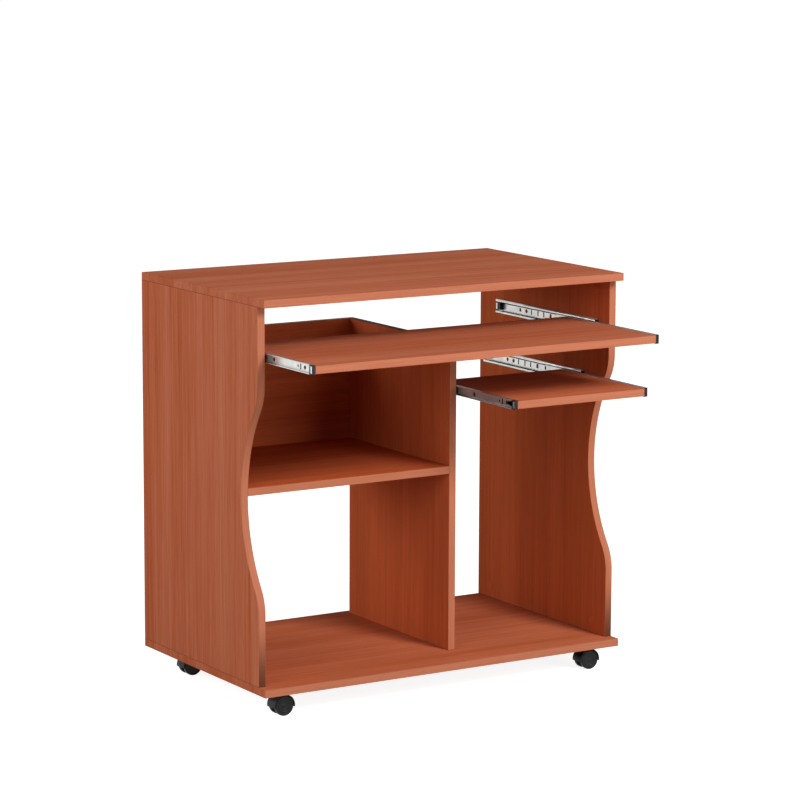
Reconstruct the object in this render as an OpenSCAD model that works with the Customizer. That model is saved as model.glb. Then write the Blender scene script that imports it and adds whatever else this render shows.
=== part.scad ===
// Rolling computer desk in cherry-coloured laminated board
// A keyboard tray and a side shelf pull out on ball-bearing slides
// Origin: on the floor, in the middle of the desk with the tray pulled out
// X is the width, -Y the user's side, Z is up; all sizes in millimetres

/* [Carcass] */
// Width of the desktop
desk_w = 800; // [740:5:1000]
// Depth of the desktop
desk_d = 482; // [470:2:600]
// Height of the desktop above the floor
desk_h = 787; // [760:1:840]
// Thickness of every board
board_t = 15; // [14:1:19]
// Side panels: step back from the front edge of the desktop
side_setback = 25; // [10:1:40]
// Divider and fixed shelf: step back from the front edge of the desktop
divider_setback = 90; // [90:1:130]
// Clear width of the bay to the left of the divider
left_bay_w = 443.5; // [380:0.5:460]
// Clear height under the fixed shelf
shelf_rise = 349; // [300:1:380]
// Step of the back panel in from the rear edge
back_inset = 3.5; // [1:0.5:12]

/* [Side panel curve] */
// How far the front edge curves in
curve_depth = 65; // [30:1:65]
// Radius of the hollow in the middle
curve_r = 300; // [260:5:340]
// Radius of the rounded ends of the curve
curve_end_r = 90; // [60:5:110]
// Middle of the curve, below the middle of the panel
curve_drop = 7; // [0:1:15]

/* [Trays] */
// Clear height between keyboard tray and desktop
key_space_h = 88; // [80:1:100]
// Depth of the keyboard tray
tray_d = 305; // [280:1:340]
// How far the keyboard tray stands out at rest
tray_out = 204; // [150:1:230]
// Clear height between pull-out shelf and keyboard tray
paper_space_h = 92; // [80:1:110]
// Depth of the pull-out shelf
pull_shelf_d = 283; // [260:1:320]
// How far the pull-out shelf stands out at rest
shelf_out = 215; // [150:1:230]
// Gap between the divider's top and the keyboard tray
tray_gap = 2.5; // [1.5:0.5:5]

/* [Slides] */
// Length of a slide's outer member
slide_len = 350; // [340:5:360]
// Height of a slide's outer member
slide_h = 30; // [30:0.5:34]
// Thickness of a closed slide
slide_t = 10; // [10:0.5:12]
// Steel thickness of both members
steel_t = 1.2; // [1:0.1:1.4]
// Diameter of the bearing balls
ball_d = 4.76; // [4.6:0.02:4.9]
// Number of balls in each row
balls_in_row = 6; // [4:1:6]
// Spacing of the balls
ball_pitch = 15; // [12:1:16]
// Keyboard slides: step back from the side panel's front edge
key_slide_setback = 37; // [20:1:45]
// Shelf slides: step back from the divider's front edge
shelf_slide_setback = 17; // [5:1:30]
// Length of the rear stop
stop_len = 10; // [8:1:16]
// Length of the fold behind the rear stop
fold_len = 6; // [5:0.5:8]
// Length of the front cap
cap_len = 10.6; // [8:0.2:14]

/* [Casters] */
// Height from the floor to the underside of the bottom panel
caster_h = 45; // [45:1:50]
// Diameter of a wheel
wheel_d = 38; // [34:1:38]
// Width over both wheels
caster_w = 29; // [28:0.5:34]
// Distance from the swivel pin to the axle
caster_trail = 12; // [12:0.5:14]
// Distance from a swivel pin to the side edge
caster_inset_x = 41; // [30:1:60]
// Distance from a front swivel pin to the front edge
caster_inset_front = 34.5; // [30:0.5:60]
// Distance from a rear swivel pin to the rear edge
caster_inset_rear = 89; // [40:1:110]
// Side of the square mounting plate
plate_w = 38; // [36:1:42]
// Diameter of the swivel pin
king_pin_d = 7; // [6:0.5:7]
// Diameter of the axle
axle_d = 6; // [5:0.5:6]

/* [Fixings] */
// Diameter of a cam lock
cam_d = 15; // [12:0.5:16]
// Depth of a cam lock
cam_h = 11.5; // [11:0.5:12]
// Distance from a cam's centre to the end of its board
cam_offset = 24; // [20:1:34]
// Diameter of a cam bolt
cam_bolt_d = 6; // [5:0.5:6.5]
// Diameter of a wooden dowel
dowel_d = 8; // [6:0.5:8]
// Length of a wooden dowel
dowel_len = 30; // [25:1:34]
// Length of a confirmat screw
confirmat_len = 50; // [40:1:60]
// Length of the small countersunk screws
screw_len = 12; // [10:0.5:13]
// Distance from the first fitting of a joint to the board's end
fit_end = 45; // [35:1:60]
// Distance from a cam bolt to the dowel beside it
fit_step = 40; // [32:1:64]

/* [Hidden] */
$fn = 96;

// Colours as seen on the real desk
laminate = "#a65c42";
zinc = "#c9ccd0";
black_plastic = "#222324";
black_steel = "#1c1d1f";
beech = "#d8b98a";

// Clearances that the fits share
running_gap = 0.05;
seat_gap = 0.05;
ball_gap = 0.15;
side_gap = 0.3;
// A cutter runs past the surface that it opens by this much
past = 1;

// Carcass planes
tray_reach = tray_out - side_setback - key_slide_setback;
shelf_reach = shelf_out - divider_setback - shelf_slide_setback;
reach = max(tray_reach, shelf_reach, 0);
front_y = (reach - desk_d) / 2;
back_y = (reach + desk_d) / 2;
left_out = -desk_w / 2;
right_out = desk_w / 2;
left_in = left_out + board_t;
right_in = right_out - board_t;
floor_z = caster_h + board_t;
ceiling_z = desk_h - board_t;
side_h = ceiling_z - floor_z;
side_front_y = front_y + side_setback;
divider_x0 = left_in + left_bay_w;
divider_x1 = divider_x0 + board_t;
divider_front_y = front_y + divider_setback;
back_face_y = back_y - back_inset - board_t;
fixed_z0 = floor_z + shelf_rise;
fixed_z1 = fixed_z0 + board_t;

// Trays and their slides
tray_z1 = ceiling_z - key_space_h;
tray_z0 = tray_z1 - board_t;
key_slide_z = tray_z1 - board_t / 2;
key_slide_y = side_front_y + key_slide_setback;
pull_z1 = tray_z0 - paper_space_h;
pull_z0 = pull_z1 - board_t;
shelf_slide_z = pull_z1 - board_t / 2;
shelf_slide_y = divider_front_y + shelf_slide_setback;
divider_z1 = tray_z0 - tray_gap;

// Slide section, measured from the wall that carries it
ball_r = ball_d / 2;
race_r = ball_r + ball_gap;
ball_u = slide_t * 0.53;
ball_v = slide_h / 2 - steel_t - race_r;
inner_v = ball_v - race_r;
inner_u = 2.7;
lip_turn = 25;
groove_turn = 35;
cage_u = steel_t + side_gap;
cage_t = 0.6;
comb_t = 0.8;
cage_end = 2.8;
comb_end_u = ball_u + race_r - side_gap;
cage_bar = 6.4;
cage_window_h = ball_v;
cage_len = (balls_in_row - 1) * ball_pitch + 2 * race_r + 2 * cage_end;
stop_gap = 0.5;
inner_len = slide_len - fold_len - stop_len - stop_gap;
cap_u = inner_u - 0.2;
cap_wall = 1;
cap_h = 2 * inner_v;
hook_len = 6.4;
hook_h = 13;
hook_u = cap_u + 0.7;
fold_u = 6.8;
fold_h = 12;
stop_h = 14;
wall_screw_y = [37, 133, 271];
tray_screw_y = [36, 148, 258];
slot_y = [187, 207.5, 231];
slot_size = [2, 9];
notch_y = 162.5;
notch_size = [5.5, 7];
access_hole_y = 249;
access_hole_r = 3.3;
small_hole_y = 60.5;
small_hole_r = 1.4;
inner_slot_y = 51;
inner_slot_size = [2, 9];

// Small screws: radius of the shank and of the head
screw_r = 1.5;
screw_head_r = 2.9;
pan_head_h = 1.8;

// Casters
wheel_r = wheel_d / 2;
hood_gap = 1;
hood_t = 2;
hood_skirt = 3;
hood_in_r = wheel_r + hood_gap;
hood_out_r = hood_in_r + hood_t;
hood_lip_z = wheel_r - hood_skirt;
web_w = 7;
hub_w0 = web_w / 2 + side_gap;
rim_w0 = king_pin_d / 2 + 2.7;
half_w = caster_w / 2;
axle_half = half_w - 2.5;
plate_t = 2;
plate_z = caster_h - plate_t;
plate_hole_pitch = plate_w - 10;
plate_corner_r = 5;
axle_boss_r = axle_d / 2 + 2.5;
rivet_r = king_pin_d / 2 - 1;
boss_r = king_pin_d / 2 + 2;
boss_z0 = wheel_r + 4;
boss_z1 = plate_z - side_gap;
king_pin_z = boss_z0 + 4;
caster_spots = [
    [left_out + caster_inset_x, front_y + caster_inset_front, 0],
    [right_out - caster_inset_x, front_y + caster_inset_front, 180],
    [left_out + caster_inset_x, back_y - caster_inset_rear, 0],
    [right_out - caster_inset_x, back_y - caster_inset_rear, 180]
];

// Fittings: each joint is a point on the seam and a turn that points +Z
// into the board whose end meets the seam and +X out of its cam's face
cam_bore_h = cam_h + seat_gap;
cam_thread = board_t - 4;
cam_head_r = cam_bolt_d / 2 + 0.5;
cam_stem_r = cam_bolt_d / 2 - 0.5;
cam_collar_h = 2;
cam_groove = 1.2;
cam_groove_len = cam_d * 0.6;
cover_t = 0.4;
cover_d = cam_d + 3;
dowel_face = board_t - 4.5;
dowel_end = dowel_len - dowel_face;
confirmat_r = 2.5;
confirmat_neck_r = 3.5;
confirmat_head_r = 5;
confirmat_head_h = 3;
hex_r = 2.3;
hex_depth = 2.2;
cap_plug_t = 1;

side_cam_y = [side_front_y + fit_end, back_y - fit_end];
side_dowel_y = [side_front_y + fit_end + fit_step, back_y - fit_end - fit_step];
div_cam_y = [divider_front_y + fit_end, back_face_y - fit_end];
div_dowel_y = [divider_front_y + fit_end + fit_step, back_face_y - fit_end - fit_step];
back_cam_z = [fixed_z1 + fit_end, divider_z1 - fit_end];
back_dowel_z = (fixed_z1 + divider_z1) / 2;
shelf_screw_x = [for (k = [1 : 3]) left_in + k * left_bay_w / 4];
fixed_mid_z = fixed_z0 + board_t / 2;
left_mid_x = left_out + board_t / 2;
right_mid_x = right_out - board_t / 2;
divider_mid_x = divider_x0 + board_t / 2;
back_mid_y = back_face_y + board_t / 2;

turn_left_top = [180, 0, 0];
turn_left_bottom = [0, 0, 0];
turn_right_top = [0, 180, 0];
turn_right_bottom = [0, 0, 180];
turn_shelf = [0, 90, 0];
turn_back = [90, 0, 90];
turn_to_left = [0, -90, 0];
turn_to_front = [90, 0, 0];

function seam(x, ys, z, turn) = [for (y = ys) [[x, y, z], turn]];

cams_left_top = seam(left_mid_x, side_cam_y, ceiling_z, turn_left_top);
cams_left_bottom = seam(left_mid_x, side_cam_y, floor_z, turn_left_bottom);
cams_right_top = seam(right_mid_x, side_cam_y, ceiling_z, turn_right_top);
cams_right_bottom = seam(right_mid_x, side_cam_y, floor_z, turn_right_bottom);
cams_divider = seam(divider_mid_x, div_cam_y, floor_z, turn_left_bottom);
cams_shelf = seam(left_in, div_cam_y, fixed_mid_z, turn_shelf);
cams_back = [for (z = back_cam_z) [[left_in, back_mid_y, z], turn_back]];

dowels_left_top = seam(left_mid_x, side_dowel_y, ceiling_z, turn_left_top);
dowels_left_bottom = seam(left_mid_x, side_dowel_y, floor_z, turn_left_bottom);
dowels_right_top = seam(right_mid_x, side_dowel_y, ceiling_z, turn_right_top);
dowels_right_bottom = seam(right_mid_x, side_dowel_y, floor_z, turn_right_bottom);
dowels_divider = seam(divider_mid_x, div_dowel_y, floor_z, turn_left_bottom);
dowels_shelf = seam(left_in, [div_dowel_y[0]], fixed_mid_z, turn_shelf);
dowels_back = [[[left_in, back_mid_y, back_dowel_z], turn_back]];

screws_shelf = seam(divider_x0, div_cam_y, fixed_mid_z, turn_to_left);
screws_back_divider = [for (z = back_cam_z) [[divider_mid_x, back_face_y, z], turn_to_front]];
screws_back_shelf = [for (x = shelf_screw_x) [[x, back_face_y, fixed_mid_z], turn_to_front]];

all_cams = concat(cams_left_top, cams_left_bottom, cams_right_top, cams_right_bottom,
    cams_divider, cams_shelf, cams_back);
all_dowels = concat(dowels_left_top, dowels_left_bottom, dowels_right_top,
    dowels_right_bottom, dowels_divider, dowels_shelf, dowels_back);
all_confirmats = concat(screws_shelf, screws_back_divider, screws_back_shelf);

module place(spots) {
    for (s = spots) translate(s[0]) rotate(s[1]) children();
}

// Bores of a cam joint in the board that holds the cam
module cam_end_bores(spots) {
    place(spots) {
        translate([board_t / 2 - cam_bore_h, 0, cam_offset])
            rotate([0, 90, 0]) cylinder(d = cam_d + 2 * seat_gap, h = cam_bore_h + past);
        translate([0, 0, -past])
            cylinder(r = cam_head_r + 4 * seat_gap, h = cam_offset + past);
    }
}

// Bore of a cam joint in the board that the bolt screws into
module cam_face_bores(spots) {
    place(spots) translate([0, 0, -cam_thread - seat_gap])
        cylinder(d = cam_bolt_d + 2 * seat_gap, h = cam_thread + seat_gap + past);
}

module dowel_end_bores(spots) {
    place(spots) translate([0, 0, -past])
        cylinder(d = dowel_d + 2 * seat_gap, h = dowel_end + side_gap + past);
}

module dowel_face_bores(spots) {
    place(spots) translate([0, 0, -dowel_face - side_gap])
        cylinder(d = dowel_d + 2 * seat_gap, h = dowel_face + side_gap + past);
}

module confirmat_end_bores(spots) {
    place(spots) translate([0, 0, -past])
        cylinder(r = confirmat_r + seat_gap, h = confirmat_len - board_t + past + side_gap);
}

module confirmat_face_bores(spots) {
    place(spots) translate([0, 0, -board_t]) {
        translate([0, 0, -past]) cylinder(r = confirmat_neck_r + seat_gap, h = board_t + 2 * past);
        translate([0, 0, -past])
            cylinder(r = confirmat_head_r + seat_gap, h = cap_plug_t + confirmat_head_h + past);
    }
}

// Holes for the plates' screws, from below
module caster_screw_bores() {
    for (s = caster_spots) translate([s[0], s[1], caster_h - past])
        plate_corners() cylinder(r = screw_r + seat_gap, h = screw_len - plate_t + past + side_gap);
}

module plate_corners() {
    for (sx = [-1, 1], sy = [-1, 1])
        translate([sx, sy] * plate_hole_pitch / 2) children();
}

module top_panel() {
    color(laminate) difference() {
        translate([left_out, front_y, ceiling_z]) cube([desk_w, desk_d, board_t]);
        cam_face_bores(concat(cams_left_top, cams_right_top));
        dowel_face_bores(concat(dowels_left_top, dowels_right_top));
    }
}

module bottom_panel() {
    color(laminate) difference() {
        translate([left_out, front_y, caster_h]) cube([desk_w, desk_d, board_t]);
        cam_face_bores(concat(cams_left_bottom, cams_right_bottom, cams_divider));
        dowel_face_bores(concat(dowels_left_bottom, dowels_right_bottom, dowels_divider));
        caster_screw_bores();
    }
}

// Outline of a side panel, depth along X and height along Y, with one hollow
// arc in the front edge that two rounded ends meet without a corner
module side_outline() {
    depth = back_y - side_front_y;
    mid = side_h / 2 - curve_drop;
    sum_r = curve_r + curve_end_r;
    half_span = sqrt(curve_depth * (2 * sum_r - curve_depth));
    meet = curve_r / sum_r;
    hollow_x = curve_depth - curve_r;
    meet_x = hollow_x + (curve_end_r - hollow_x) * meet;
    difference() {
        square([depth, side_h]);
        translate([hollow_x, mid]) circle(r = curve_r, $fn = 360);
        difference() {
            translate([-past, mid - half_span]) square([meet_x + past, 2 * half_span]);
            for (up = [-1, 1])
                translate([curve_end_r, mid + up * half_span]) circle(r = curve_end_r, $fn = 180);
        }
    }
}

module side_board(x0) {
    translate([x0, side_front_y, floor_z])
        rotate([90, 0, 90]) linear_extrude(board_t) side_outline();
}

module left_side_panel() {
    color(laminate) difference() {
        side_board(left_out);
        cam_end_bores(concat(cams_left_top, cams_left_bottom));
        dowel_end_bores(concat(dowels_left_top, dowels_left_bottom));
        cam_face_bores(concat(cams_shelf, cams_back));
        dowel_face_bores(concat(dowels_shelf, dowels_back));
        on_slide("keyboard_left") wall_screw_bores();
    }
}

module right_side_panel() {
    color(laminate) difference() {
        side_board(right_in);
        cam_end_bores(concat(cams_right_top, cams_right_bottom));
        dowel_end_bores(concat(dowels_right_top, dowels_right_bottom));
        on_slide("keyboard_right") wall_screw_bores();
        on_slide("shelf_right") wall_screw_bores();
    }
}

module divider_panel() {
    color(laminate) difference() {
        translate([divider_x0, divider_front_y, floor_z])
            cube([board_t, back_face_y - divider_front_y, divider_z1 - floor_z]);
        cam_end_bores(cams_divider);
        dowel_end_bores(dowels_divider);
        confirmat_face_bores(screws_shelf);
        confirmat_end_bores(screws_back_divider);
        on_slide("shelf_left") wall_screw_bores();
    }
}

module fixed_shelf() {
    color(laminate) difference() {
        translate([left_in, divider_front_y, fixed_z0])
            cube([left_bay_w, back_face_y - divider_front_y, board_t]);
        cam_end_bores(cams_shelf);
        dowel_end_bores(dowels_shelf);
        confirmat_end_bores(concat(screws_shelf, screws_back_shelf));
    }
}

module back_panel() {
    color(laminate) difference() {
        translate([left_in, back_face_y, fixed_z0])
            cube([divider_x1 - left_in, board_t, divider_z1 - fixed_z0]);
        cam_end_bores(cams_back);
        dowel_end_bores(dowels_back);
        confirmat_face_bores(concat(screws_back_divider, screws_back_shelf));
    }
}

module keyboard_tray() {
    color(laminate) difference() {
        translate([left_in + slide_t, key_slide_y - tray_out, tray_z0])
            cube([right_in - left_in - 2 * slide_t, tray_d, board_t]);
        on_slide("keyboard_left", tray_out) tray_screw_bores();
        on_slide("keyboard_right", tray_out) tray_screw_bores();
    }
}

module pull_out_shelf() {
    color(laminate) difference() {
        translate([divider_x1 + slide_t, shelf_slide_y - shelf_out, pull_z0])
            cube([right_in - divider_x1 - 2 * slide_t, pull_shelf_d, board_t]);
        on_slide("shelf_left", shelf_out) tray_screw_bores();
        on_slide("shelf_right", shelf_out) tray_screw_bores();
    }
}

// Turning lock with a pocket for the bolt's head and a cross slot
module cam_locks() {
    color(zinc) place(all_cams) difference() {
        translate([board_t / 2 - cam_h, 0, cam_offset])
            rotate([0, 90, 0]) cylinder(d = cam_d, h = cam_h);
        translate([0, 0, cam_offset - cam_d])
            cylinder(r = cam_head_r + 2 * seat_gap, h = cam_d + cam_bolt_d / 2);
        for (a = [0, 90]) translate([board_t / 2, 0, cam_offset]) rotate([a, 0, 0])
            cube([2 * cam_groove, cam_groove, cam_groove_len], center = true);
    }
}

// Bolt with a thread in the face board and a collar inside the lock
module cam_bolts() {
    color(zinc) place(all_cams) {
        translate([0, 0, -cam_thread]) cylinder(d = cam_bolt_d, h = cam_thread);
        cylinder(r = cam_stem_r, h = cam_offset);
        translate([0, 0, cam_offset - cam_bolt_d / 2]) cylinder(r = cam_head_r, h = cam_bolt_d / 2);
        cylinder(r = cam_head_r, h = cam_collar_h);
    }
}

module cam_covers() {
    color(laminate) place(all_cams)
        translate([board_t / 2, 0, cam_offset]) rotate([0, 90, 0]) cylinder(d = cover_d, h = cover_t);
}

module wooden_dowels() {
    color(beech) place(all_dowels)
        translate([0, 0, -dowel_face]) cylinder(d = dowel_d, h = dowel_len);
}

module confirmat_screws() {
    color(zinc) place(all_confirmats) translate([0, 0, -board_t + cap_plug_t]) difference() {
        union() {
            cylinder(r = confirmat_head_r, h = confirmat_head_h);
            cylinder(r = confirmat_neck_r, h = board_t - cap_plug_t);
            cylinder(r = confirmat_r, h = confirmat_len - cap_plug_t);
        }
        translate([0, 0, -past]) cylinder(r = hex_r, h = past + hex_depth, $fn = 6);
    }
}

module screw_caps() {
    color(laminate) place(all_confirmats)
        translate([0, 0, -board_t]) cylinder(r = confirmat_head_r, h = cap_plug_t);
}

// A slide stands with its outer member's front end at the origin, +Y to the
// rear and +X from the wall to the tray, and moves towards -Y by out
module on_slide(name, out = 0) {
    right = name == "keyboard_right" || name == "shelf_right";
    upper = name == "keyboard_left" || name == "keyboard_right";
    wall_x = right ? right_in : upper ? left_in : divider_x1;
    slide_y = upper ? key_slide_y : shelf_slide_y;
    slide_z = upper ? key_slide_z : shelf_slide_z;
    translate([wall_x, slide_y - out, slide_z])
        mirror([right ? 1 : 0, 0, 0]) children();
}

module along_slide(length) {
    translate([0, length, 0]) rotate([90, 0, 0]) linear_extrude(length) children();
}

// Part of a ring between two angles less than 150 degrees apart
module ring_part(r0, r1, a0, a1) {
    mid = (a0 + a1) / 2;
    reach_r = 3 * r1;
    intersection() {
        difference() {
            circle(r = r1);
            circle(r = r0);
        }
        polygon([[0, 0], for (a = [a0, mid, a1]) reach_r * [cos(a), sin(a)]]);
    }
}

module both_edges() {
    for (s = [0, 1]) mirror([0, s]) children();
}

// Outer member: a channel whose flanges curl round the balls
module outer_section() {
    translate([0, -slide_h / 2]) square([steel_t, slide_h]);
    both_edges() {
        translate([0, slide_h / 2 - steel_t]) square([ball_u, steel_t]);
        translate([ball_u, ball_v]) ring_part(race_r, race_r + steel_t, -lip_turn, 90);
    }
}

// Inner member: a shallower channel with a ball groove in each flange
module inner_section() {
    translate([slide_t - steel_t, -inner_v]) square([steel_t, 2 * inner_v]);
    both_edges() {
        translate([inner_u, inner_v - steel_t]) square([slide_t - inner_u, steel_t]);
        translate([ball_u, ball_v])
            ring_part(race_r, race_r + steel_t, -90 - groove_turn, -90 + groove_turn);
    }
}

// Countersunk screw along -Z with the top of its head at the origin
module countersunk(head_h, grow = 0) {
    translate([0, 0, -head_h])
        cylinder(r1 = screw_r + grow, r2 = screw_head_r + grow, h = head_h);
    translate([0, 0, -screw_len]) cylinder(r = screw_r + grow, h = screw_len - head_h / 2);
}

module wall_screw_bores() {
    for (y = wall_screw_y) translate([steel_t, y, 0]) rotate([0, 90, 0])
        translate([0, 0, -screw_len - side_gap]) cylinder(r = screw_r + seat_gap, h = screw_len);
}

module tray_screw_bores() {
    for (y = tray_screw_y) translate([slide_t - past, y, 0]) rotate([0, 90, 0])
        cylinder(r = screw_r + seat_gap, h = screw_len + past + side_gap);
}

// Slot in a member's web, with its width along the slide
module web_slot(y, size, end_u) {
    translate([-past, y - size[0] / 2, -size[1] / 2]) cube([end_u + 2 * past, size[0], size[1]]);
}

// The web's rear end is folded up and forwards to hold the stop
module slide_outer(name) {
    color(zinc) on_slide(name) {
        translate([0, slide_len - steel_t, -fold_h / 2]) cube([fold_u + steel_t, steel_t, fold_h]);
        translate([fold_u, slide_len - fold_len, -fold_h / 2]) cube([steel_t, fold_len, fold_h]);
        slide_outer_channel();
    }
}

module slide_outer_channel() {
    difference() {
        along_slide(slide_len) outer_section();
        for (y = wall_screw_y) translate([steel_t, y, 0]) rotate([0, 90, 0]) {
            countersunk(steel_t, seat_gap);
            cylinder(r = screw_head_r + seat_gap, h = past);
        }
        translate([-past, access_hole_y, 0]) rotate([0, 90, 0])
            cylinder(r = access_hole_r, h = steel_t + 2 * past);
        for (y = slot_y) web_slot(y, slot_size, steel_t);
        web_slot(notch_y, notch_size, steel_t);
    }
}

// The web of the inner member runs on behind the cap, its flanges end at the
// cap's rear, and a hook folded up from the web holds the cap
module slide_inner(name, out) {
    color(zinc) on_slide(name, out) {
        translate([hook_u, cap_wall, -hook_h / 2]) cube([slide_t - hook_u, steel_t, hook_h]);
        translate([hook_u, cap_wall, -hook_h / 2]) cube([steel_t, hook_len, hook_h]);
        slide_inner_channel();
    }
}

module slide_inner_channel() {
    difference() {
        along_slide(inner_len) inner_section();
        translate([-past, -past, -slide_h / 2])
            cube([slide_t - steel_t + past, cap_len + side_gap + past, slide_h]);
        for (y = tray_screw_y) translate([0, y, 0]) rotate([0, 90, 0])
            cylinder(r = screw_r + seat_gap, h = slide_t + past);
        translate([0, small_hole_y, 0]) rotate([0, 90, 0])
            cylinder(r = small_hole_r, h = slide_t + past);
        web_slot(inner_slot_y, inner_slot_size, slide_t);
    }
}

// Ball cage: a thin channel whose flanges are combs with a seat for each ball
module cage_section() {
    outside_v = ball_v + comb_t / 2;
    difference() {
        translate([cage_u, -outside_v]) square([comb_end_u - cage_u, 2 * outside_v]);
        translate([cage_u + cage_t, comb_t - outside_v])
            square([comb_end_u, 2 * (outside_v - comb_t)]);
    }
}

module slide_cage(name, out) {
    color(black_plastic) on_slide(name, out / 2)
        translate([0, (inner_len - cage_len) / 2, 0]) difference() {
            along_slide(cage_len) cage_section();
            for (k = [0 : balls_in_row - 1], s = [-1, 1])
                translate([ball_u, ball_y(k), s * ball_v - comb_t]) cylinder(r = race_r, h = 2 * comb_t);
            for (k = [0 : balls_in_row - 2])
                translate([0, ball_y(k) + cage_bar / 2, -cage_window_h / 2])
                    cube([comb_end_u, ball_pitch - cage_bar, cage_window_h]);
        }
}

function ball_y(k) = cage_len / 2 + (k - (balls_in_row - 1) / 2) * ball_pitch;

module slide_balls(name, out) {
    color(zinc) on_slide(name, out / 2) translate([0, (inner_len - cage_len) / 2, 0])
        for (k = [0 : balls_in_row - 1], s = [-1, 1])
            translate([ball_u, ball_y(k), s * ball_v]) sphere(r = ball_r);
}

// Cap on the front end of the inner member, with a window for its hook
module slide_cap(name, out) {
    window_h = hook_h + 2 * side_gap;
    color(black_plastic) on_slide(name, out) difference() {
        translate([cap_u, 0, -cap_h / 2]) cube([slide_t - steel_t - cap_u, cap_len, cap_h]);
        translate([0, cap_wall, -window_h / 2]) cube([slide_t, hook_len + side_gap, window_h]);
    }
}

module keyboard_slide_caps() {
    slide_cap("keyboard_left", tray_out);
    slide_cap("keyboard_right", tray_out);
}

module shelf_slide_caps() {
    slide_cap("shelf_left", shelf_out);
    slide_cap("shelf_right", shelf_out);
}

SLIDES = ["keyboard_left", "keyboard_right", "shelf_left", "shelf_right"];

module slide_rear_stops() {
    color(black_plastic) for (s = SLIDES) on_slide(s)
        translate([steel_t, slide_len - fold_len - stop_len, -stop_h / 2])
            cube([slide_t - 2 * steel_t, stop_len, stop_h]);
}

module slide_wall_screws() {
    color(black_steel) for (s = SLIDES, y = wall_screw_y) on_slide(s)
        translate([steel_t, y, 0]) rotate([0, 90, 0]) countersunk(steel_t);
}

module tray_screw_row(name, out) {
    color(black_steel) on_slide(name, out) for (y = tray_screw_y)
        translate([slide_t - steel_t, y, 0]) rotate([0, 90, 0]) {
            translate([0, 0, -pan_head_h]) cylinder(r = screw_head_r, h = pan_head_h);
            cylinder(r = screw_r, h = screw_len);
        }
}

module keyboard_tray_screws() {
    tray_screw_row("keyboard_left", tray_out);
    tray_screw_row("keyboard_right", tray_out);
}

module pull_out_shelf_screws() {
    tray_screw_row("shelf_left", shelf_out);
    tray_screw_row("shelf_right", shelf_out);
}

// A caster stands with its swivel pin on the Z axis, trails towards +X
// and turns its wheels about an axle along Y
module on_caster(k) {
    translate([caster_spots[k][0], caster_spots[k][1], 0])
        rotate([0, 0, caster_spots[k][2]]) children();
}

module on_axle(k) {
    on_caster(k) translate([caster_trail, 0, wheel_r]) rotate([90, 0, 0]) children();
}

module rounded_square(side, r) {
    square([side - 2 * r, side], center = true);
    square([side, side - 2 * r], center = true);
    for (sx = [-1, 1], sy = [-1, 1]) translate([sx, sy] * (side / 2 - r)) circle(r = r);
}

module caster_plate(k) {
    color(zinc) on_caster(k) difference() {
        translate([0, 0, plate_z]) linear_extrude(plate_t) rounded_square(plate_w, plate_corner_r);
        plate_corners() translate([0, 0, plate_z]) mirror([0, 0, 1])
            countersunk(plate_t, seat_gap);
        translate([0, 0, plate_z - past]) cylinder(r = rivet_r + seat_gap, h = plate_t + 2 * past);
    }
}

// Swivel pins, each with a shoulder under its plate and a rivet through it
module caster_king_pins() {
    color(zinc) for (k = [0 : 3]) on_caster(k) {
        translate([0, 0, king_pin_z]) cylinder(d = king_pin_d, h = plate_z - king_pin_z);
        translate([0, 0, plate_z]) cylinder(r = rivet_r, h = plate_t);
    }
}

module caster_screws() {
    color(zinc) for (k = [0 : 3]) on_caster(k) plate_corners()
        translate([0, 0, plate_z]) mirror([0, 0, 1]) countersunk(plate_t);
}

// Moulded hood: a web between the wheels, a cover over their treads, and
// bosses for the swivel pin and the axle
module caster_hood(k) {
    color(black_plastic) difference() {
        union() {
            difference() {
                on_axle(k) {
                    difference() {
                        cylinder(r = hood_out_r, h = caster_w, center = true);
                        cylinder(r = hood_in_r, h = caster_w + past, center = true);
                    }
                    cylinder(r = hood_in_r + hood_t / 2, h = web_w, center = true);
                }
                on_caster(k) translate([caster_trail - 2 * hood_out_r, -caster_w, -hood_out_r])
                    cube([4 * hood_out_r, 2 * caster_w, hood_lip_z + hood_out_r]);
            }
            on_axle(k) cylinder(r = axle_boss_r, h = web_w, center = true);
            on_caster(k) translate([0, 0, boss_z0]) cylinder(r = boss_r, h = boss_z1 - boss_z0);
        }
        on_caster(k) translate([0, 0, king_pin_z - side_gap])
            cylinder(r = king_pin_d / 2 + running_gap, h = plate_z);
        on_axle(k) cylinder(r = axle_d / 2 + seat_gap / 2, h = caster_w, center = true);
    }
}

module caster_axle(k) {
    color(zinc) on_axle(k) cylinder(d = axle_d, h = 2 * axle_half, center = true);
}

// Wheel: a tread on a dished disc, with a hub that is closed outside
module wheel_section() {
    hub_r = axle_d / 2 + 2.2;
    rim_t = 3.2;
    disc_t = 2;
    round_r = 1.5;
    dish = 0.8;
    difference() {
        union() {
            translate([0, hub_w0]) square([hub_r, half_w - dish - hub_w0]);
            translate([0, half_w - dish - disc_t]) square([wheel_r - rim_t, disc_t]);
            translate([wheel_r - rim_t, rim_w0]) square([rim_t - round_r, half_w - rim_w0]);
            translate([wheel_r - rim_t, rim_w0 + round_r])
                square([rim_t, half_w - rim_w0 - 2 * round_r]);
            for (w = [rim_w0 + round_r, half_w - round_r])
                translate([wheel_r - round_r, w]) circle(r = round_r, $fn = 48);
        }
        translate([0, hub_w0 - past])
            square([axle_d / 2 + running_gap, axle_half + side_gap - hub_w0 + past]);
    }
}

module caster_wheel(k, far) {
    color(black_plastic) on_axle(k) mirror([0, 0, far ? 1 : 0])
        rotate_extrude($fn = 128) wheel_section();
}

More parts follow.
